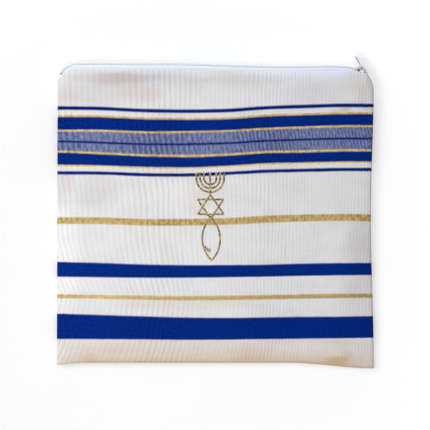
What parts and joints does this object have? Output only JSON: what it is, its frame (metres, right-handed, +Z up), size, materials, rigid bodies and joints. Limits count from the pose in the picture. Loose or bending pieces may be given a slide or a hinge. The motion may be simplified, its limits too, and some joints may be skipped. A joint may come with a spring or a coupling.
{
  "type": "zip-top tallit bag",
  "caption": "Flat zip-top pouch of striped prayer-shawl cloth for carrying a tallit, lying on its back, with a small turning pull tab.",
  "frame": {"origin": "on the surface that the bag lies on, under the middle of the panels' width and length", "axes": "+Z up out of the front panel, +Y towards the zip, +X towards the zip's slider"},
  "size_m": [0.29, 0.286, 0.0131],
  "materials": {
    "shawl_cloth": "ribbed woven cloth, white with blue, light-blue and gold stripes",
    "zip_tape": "woven tape, white",
    "zip_nylon": "satin nylon coil, pale blue-white",
    "nickel": "polished nickel plate"
  },
  "bodies": {
    "bag": {"front_panel": "shawl_cloth", "back_panel": "shawl_cloth", "zip_tape_front": "zip_tape", "zip_tape_back": "zip_tape", "zip_chain": "zip_nylon", "zip_slider": "nickel"},
    "pull_tab": {"pull_tab": "nickel"}
  },
  "joints": [
    {"name": "pull_tab_hinge", "type": "hinge", "parent": "bag", "child": "pull_tab", "pos_m": [0.13414, 0.13548, 0.0052], "axis": [0, 0, 1], "range_deg": [-129, 49]}
  ]
}
